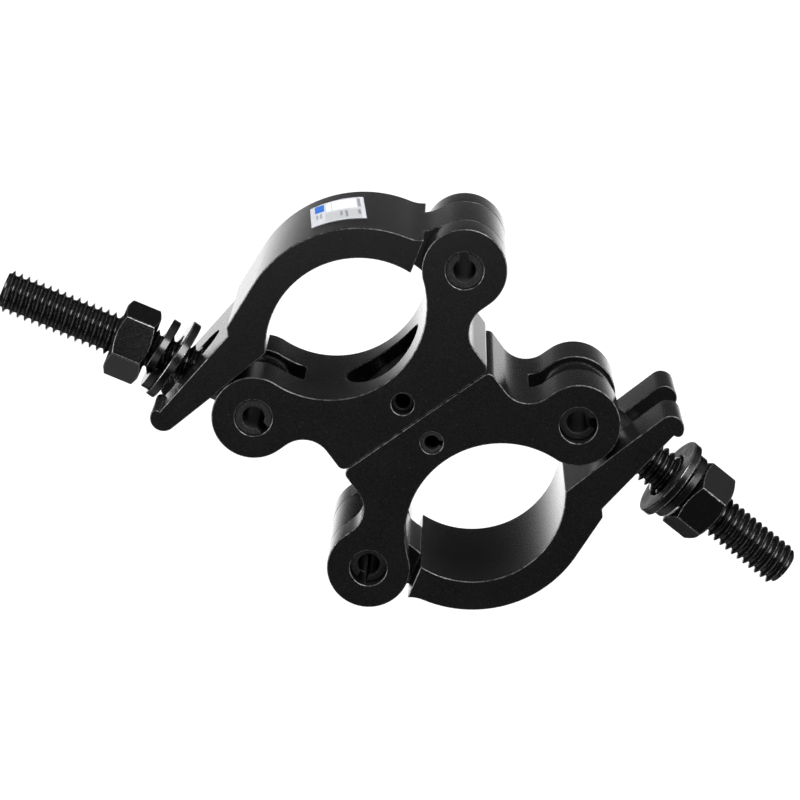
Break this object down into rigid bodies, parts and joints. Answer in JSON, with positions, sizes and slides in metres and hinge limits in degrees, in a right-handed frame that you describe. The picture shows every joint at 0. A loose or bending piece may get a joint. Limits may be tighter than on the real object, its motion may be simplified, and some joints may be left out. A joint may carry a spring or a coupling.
{
  "type": "swivel pipe clamp",
  "caption": "Two hinged half clamps joined back to back by a swivel, each closed by a swing bolt, to hold two stage tubes at any angle.",
  "frame": {"origin": "centre of the upper base's tube seat, half-way along the tube", "axes": "+X along the base, +Y away from the swivel plane, +Z along the upper tube"},
  "size_m": [0.1381, 0.1938, 0.045],
  "materials": {
    "black_aluminium": "black anodised, fine satin grain",
    "black_steel": "black oxide, oiled",
    "pin_steel": "phosphated spring steel",
    "swivel_steel": "black oxide",
    "label": "satin adhesive film"
  },
  "bodies": {
    "upper_frame": {"upper_base": "black_aluminium", "upper_hinge_pin": "pin_steel", "upper_pivot_pin": "pin_steel", "upper_lock_pin": "pin_steel", "swivel_bolt": "swivel_steel", "swivel_nut": "swivel_steel"},
    "lower_frame": {"lower_base": "black_aluminium", "lower_hinge_pin": "pin_steel", "lower_pivot_pin": "pin_steel", "lower_lock_pin": "pin_steel"},
    "upper_arm": {"upper_arm": "black_aluminium", "label": "label"},
    "upper_eye_bolt": {"upper_eye_bolt": "black_steel"},
    "upper_washer": {"upper_washer": "black_steel"},
    "upper_spring_washer": {"upper_spring_washer": "black_steel"},
    "upper_nut": {"upper_nut": "black_steel"},
    "lower_arm": {"lower_arm": "black_aluminium"},
    "lower_eye_bolt": {"lower_eye_bolt": "black_steel"},
    "lower_washer": {"lower_washer": "black_steel"},
    "lower_spring_washer": {"lower_spring_washer": "black_steel"},
    "lower_nut": {"lower_nut": "black_steel"}
  },
  "joints": [
    {"name": "swivel", "type": "hinge", "parent": "upper_frame", "child": "lower_frame", "pos_m": [0, -0.0395, 0], "axis": [0, 1, 0], "continuous": true},
    {"name": "upper_arm_open", "type": "hinge", "parent": "upper_frame", "child": "upper_arm", "pos_m": [0.0348, -0.0133, 0], "axis": [0, 0, -1], "range_deg": [0, 17]},
    {"name": "upper_bolt_swing", "type": "hinge", "parent": "upper_frame", "child": "upper_eye_bolt", "pos_m": [-0.0348, -0.0133, 0], "axis": [0, 0, 1], "range_deg": [0, 57]},
    {"name": "upper_washer_slide", "type": "slide", "parent": "upper_eye_bolt", "child": "upper_washer", "axis": [-0.515, 0.8572, 0], "range_m": [0, 0.033]},
    {"name": "upper_spring_washer_slide", "type": "slide", "parent": "upper_eye_bolt", "child": "upper_spring_washer", "axis": [-0.515, 0.8572, 0], "range_m": [0, 0.033]},
    {"name": "upper_nut_spin", "type": "hinge", "parent": "upper_spring_washer", "child": "upper_nut", "pos_m": [-0.0554, 0.02099, 0], "axis": [-0.515, 0.8572, 0], "range_deg": [0, 5612.6]},
    {"name": "lower_arm_open", "type": "hinge", "parent": "lower_frame", "child": "lower_arm", "pos_m": [-0.0348, -0.0657, 0], "axis": [0, 0, -1], "range_deg": [0, 49]},
    {"name": "lower_bolt_swing", "type": "hinge", "parent": "lower_frame", "child": "lower_eye_bolt", "pos_m": [0.0348, -0.0657, 0], "axis": [0, 0, 1], "range_deg": [0, 75]},
    {"name": "lower_washer_slide", "type": "slide", "parent": "lower_eye_bolt", "child": "lower_washer", "axis": [0.2571, -0.9664, 0], "range_m": [0, 0.0258]},
    {"name": "lower_spring_washer_slide", "type": "slide", "parent": "lower_eye_bolt", "child": "lower_spring_washer", "axis": [0.2571, -0.9664, 0], "range_m": [0, 0.0258]},
    {"name": "lower_nut_spin", "type": "hinge", "parent": "lower_spring_washer", "child": "lower_nut", "pos_m": [0.04509, -0.10436, 0], "axis": [0.2571, -0.9664, 0], "range_deg": [0, 4388.03]}
  ],
  "couplings": [
    {"joint": "upper_bolt_swing", "follows": "upper_arm_open", "ratio": 3.3529},
    {"joint": "upper_washer_slide", "follows": "upper_arm_open", "m_per_rad": 0.11122},
    {"joint": "upper_spring_washer_slide", "follows": "upper_arm_open", "m_per_rad": 0.11122},
    {"joint": "upper_nut_spin", "follows": "upper_arm_open", "ratio": 330.14},
    {"joint": "lower_bolt_swing", "follows": "lower_arm_open", "ratio": 1.5306},
    {"joint": "lower_washer_slide", "follows": "lower_arm_open", "m_per_rad": 0.030167},
    {"joint": "lower_spring_washer_slide", "follows": "lower_arm_open", "m_per_rad": 0.030167},
    {"joint": "lower_nut_spin", "follows": "lower_arm_open", "ratio": 89.542}
  ]
}
